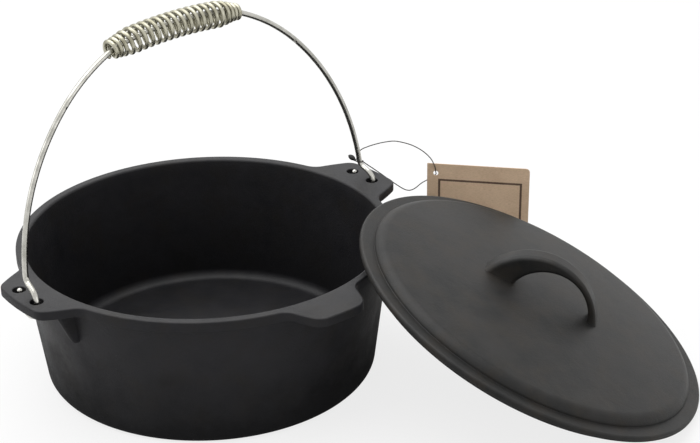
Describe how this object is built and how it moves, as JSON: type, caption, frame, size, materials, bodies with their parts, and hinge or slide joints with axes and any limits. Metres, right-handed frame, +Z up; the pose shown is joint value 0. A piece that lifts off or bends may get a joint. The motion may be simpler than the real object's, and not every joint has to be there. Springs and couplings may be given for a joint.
{
  "type": "camp dutch oven",
  "caption": "Cast-iron camp dutch oven with a wire bail in drilled ears, a coil grip, a domed lid with an arched handle leaning on the rim, and a card tag on a cord.",
  "frame": {"origin": "centre of the pot's flat base", "axes": "+Z up along the pot's axis, +X through the two ears along the bail's hinge line, the helper tab towards -Y"},
  "size_m": [0.4291, 0.4453, 0.2663],
  "materials": {
    "pot_iron": "dark seasoned casting",
    "bail_wire": "bright plated wire",
    "coil_wire": "bright spring wire",
    "lid_iron": "dark seasoned casting",
    "card": "plain kraft card",
    "cord": "thin dark cord",
    "cord_end": "dark plastic"
  },
  "bodies": {
    "pot": {"pot": "pot_iron", "hang_tag": "card", "tag_tie": "cord", "tie_end": "cord_end"},
    "bail": {"bail": "bail_wire"},
    "grip": {"coil_grip": "coil_wire"},
    "lid": {"lid": "lid_iron", "lid_handle": "lid_iron"}
  },
  "joints": [
    {"name": "bail_swing", "type": "hinge", "parent": "pot", "child": "bail", "pos_m": [0, 0, 0.0985], "axis": [1, 0, 0], "range_deg": [-60, 67], "deforming": ["tag_tie"]},
    {"name": "grip_turn", "type": "hinge", "parent": "bail", "child": "grip", "pos_m": [-0.00447, 0.01922, 0.25067], "axis": [0.9994, 0.0044, 0.0346], "range_deg": [-10, 10]},
    {"name": "lid_lift", "type": "slide", "parent": "pot", "child": "lid", "axis": [0.2963, -0.3166, 0.9011], "range_m": [0, 0.12]}
  ]
}
